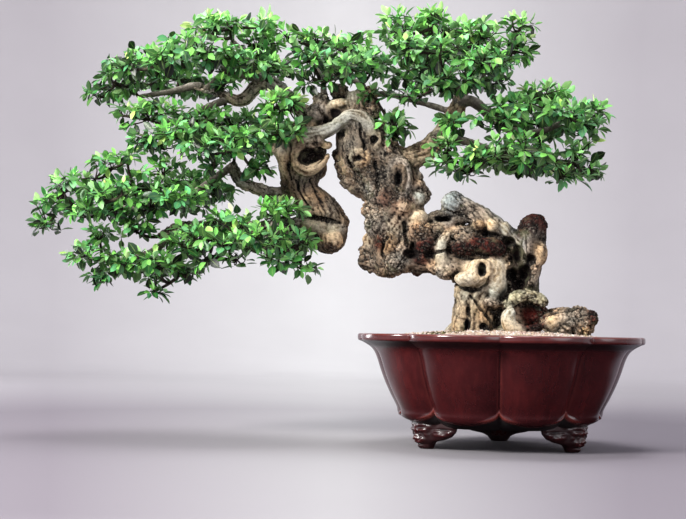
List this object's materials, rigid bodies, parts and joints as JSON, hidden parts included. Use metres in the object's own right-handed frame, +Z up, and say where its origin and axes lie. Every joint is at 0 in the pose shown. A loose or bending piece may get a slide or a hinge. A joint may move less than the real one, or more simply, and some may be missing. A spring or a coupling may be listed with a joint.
{
  "type": "ficus bonsai",
  "caption": "Leaning, burled bonsai tree with layered leaf pads, planted in a round petal-sided glazed pot on short feet.",
  "frame": {"origin": "bottom centre of the whole object's box, on the plane that the three feet stand on", "axes": "+Z up; +X to the right as seen in the picture, away from the side the tree leans to; -Y faces the camera"},
  "size_m": [0.9776, 0.4418, 0.694],
  "materials": {
    "glazed_clay": "gloss",
    "net": "matte",
    "soil": "matte",
    "grit": "matte",
    "bark": "matte",
    "leaves": "satin"
  },
  "bodies": {
    "root": {"pot": "glazed_clay", "drainage_mesh": "net", "soil": "soil", "gravel": "grit", "trunk": "bark", "foliage_crown_left": "leaves", "foliage_mid_left": "leaves", "foliage_lower_left": "leaves", "foliage_low_left": "leaves", "foliage_low_middle": "leaves", "foliage_top_middle": "leaves", "foliage_top_right": "leaves", "foliage_right_upper": "leaves", "foliage_right_lower": "leaves", "foliage_sprig": "leaves"}
  },
  "joints": []
}
